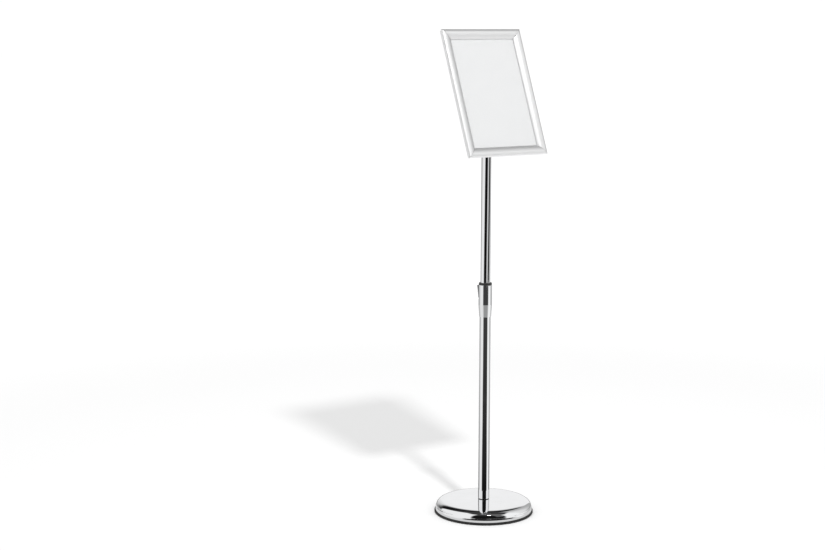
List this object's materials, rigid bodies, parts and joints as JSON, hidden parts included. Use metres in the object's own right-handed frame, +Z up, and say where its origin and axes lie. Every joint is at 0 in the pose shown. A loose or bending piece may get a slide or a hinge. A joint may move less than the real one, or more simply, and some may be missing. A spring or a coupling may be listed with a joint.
{
  "type": "sign stand",
  "caption": "Telescopic floor sign stand with a round domed base, a chrome pole with a height-lock collar, and a tilting, turning snap frame for a sheet.",
  "frame": {"origin": "on the floor, under the middle of the round base and on the pole axis", "axes": "+Z up along the pole, -Y the way the sheet faces, X along the width of the frame"},
  "size_m": [0.25, 0.25, 1.2151],
  "materials": {
    "chrome": "mirror chrome plating",
    "anodised_aluminium": "satin silver anodised",
    "steel": "zinc plated",
    "cast_iron": "as cast, dark primer",
    "silver_paint": "satin silver powder coat",
    "black_rubber": "matt",
    "black_plastic": "fine matt",
    "nylon": "natural, slightly waxy",
    "pale_board": "smooth matt board",
    "sheet_paper": "uncoated, blank",
    "clear_sheet": "clear, anti-glare"
  },
  "bodies": {
    "base": {"edge_ring": "black_rubber", "base_cover": "chrome", "base_weight": "cast_iron", "bottom_plate": "black_plastic", "base_bolt_washer": "steel", "base_bolt": "steel", "pole_seat_washer": "black_plastic", "lower_tube": "chrome", "tube_foot_plug": "steel", "collar": "chrome", "clutch_sleeve": "black_plastic", "brake_pad": "black_plastic", "lever_pin": "steel", "collar_set_screw": "steel"},
    "lever": {"lock_lever": "chrome"},
    "guide": {"guide_plug": "nylon"},
    "mast": {"upper_tube": "chrome", "head_fork": "silver_paint", "head_lock_screw": "steel", "tilt_bolt": "steel", "knob_washer": "steel"},
    "knob": {"tilt_knob": "black_plastic"},
    "tilt_head": {"tilt_tongue": "silver_paint", "swivel_bolt": "steel", "friction_washer": "nylon"},
    "frame_body": {"back_rail_bottom": "anodised_aluminium", "back_rail_right": "anodised_aluminium", "back_rail_top": "anodised_aluminium", "back_rail_left": "anodised_aluminium", "corner_key_bl": "steel", "corner_key_br": "steel", "corner_key_tr": "steel", "corner_key_tl": "steel", "spring_bottom_1": "steel", "spring_bottom_2": "steel", "spring_right_1": "steel", "spring_right_2": "steel", "spring_top_1": "steel", "spring_top_2": "steel", "spring_left_1": "steel", "spring_left_2": "steel", "back_panel": "pale_board", "paper_insert": "sheet_paper", "clear_cover": "clear_sheet", "mount_bar": "silver_paint", "bar_screw_1": "steel", "bar_screw_2": "steel", "bar_screw_3": "steel", "bar_screw_4": "steel"},
    "bottom_flap": {"flap_bottom": "anodised_aluminium"},
    "right_flap": {"flap_right": "anodised_aluminium"},
    "top_flap": {"flap_top": "anodised_aluminium"},
    "left_flap": {"flap_left": "anodised_aluminium"}
  },
  "joints": [
    {"name": "height_slide", "type": "slide", "parent": "base", "child": "guide", "axis": [0, 0, 1], "range_m": [-0.285, 0.185]},
    {"name": "mast_turn", "type": "hinge", "parent": "guide", "child": "mast", "pos_m": [0, 0, 0.5], "axis": [0, 0, 1], "continuous": true},
    {"name": "frame_tilt", "type": "hinge", "parent": "mast", "child": "tilt_head", "pos_m": [0, 0, 1.051], "axis": [1, 0, 0], "range_deg": [-60, 21.5]},
    {"name": "tilt_knob_turn", "type": "hinge", "parent": "mast", "child": "knob", "pos_m": [0.02, 0, 1.051], "axis": [1, 0, 0], "range_deg": [0, 360]},
    {"name": "frame_swivel", "type": "hinge", "parent": "tilt_head", "child": "frame_body", "pos_m": [0, 0, 1.051], "axis": [0, -0.9304, 0.3665], "range_deg": [-90, 90]},
    {"name": "flap_bottom_hinge", "type": "hinge", "parent": "frame_body", "child": "bottom_flap", "pos_m": [0, -0.0893, 0.91324], "axis": [1, 0, 0], "range_deg": [0, 90]},
    {"name": "flap_right_hinge", "type": "hinge", "parent": "frame_body", "child": "right_flap", "pos_m": [0.1174, -0.03033, 1.06295], "axis": [0, 0.3665, 0.9304], "range_deg": [0, 90]},
    {"name": "flap_top_hinge", "type": "hinge", "parent": "frame_body", "child": "top_flap", "pos_m": [0, 0.02864, 1.21265], "axis": [-1, 0, 0], "range_deg": [0, 90]},
    {"name": "flap_left_hinge", "type": "hinge", "parent": "frame_body", "child": "left_flap", "pos_m": [-0.1174, -0.03033, 1.06295], "axis": [0, -0.3665, -0.9304], "range_deg": [0, 90]},
    {"name": "lock_lever_hinge", "type": "hinge", "parent": "base", "child": "lever", "pos_m": [-0.01281, 0.00958, 0.553], "axis": [-0.599, -0.8007, 0], "range_deg": [0, 70]}
  ]
}
